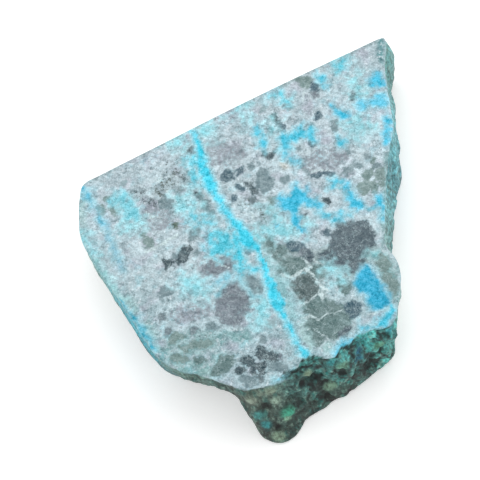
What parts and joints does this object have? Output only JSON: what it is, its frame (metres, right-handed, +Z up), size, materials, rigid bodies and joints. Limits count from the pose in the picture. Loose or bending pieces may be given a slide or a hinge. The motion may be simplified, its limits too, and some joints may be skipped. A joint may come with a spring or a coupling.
{
  "type": "chrysocolla specimen",
  "caption": "Sawn slab of rock with flat faces, one straight cut edge and broken natural edges, veined with blue chrysocolla, lying on its back face.",
  "frame": {"origin": "centre of the bounding box's bottom face, on the surface the slab lies on", "axes": "+Z up through the slab's thickness, +Y along its longer way, from the spur towards the saw-cut edge, +X towards the side where the cut edge reaches furthest"},
  "size_m": [0.055, 0.068, 0.0135],
  "materials": {
    "rock": "fine-sawn matt face, rough broken edges"
  },
  "bodies": {
    "root": {"slab": "rock"}
  },
  "joints": []
}
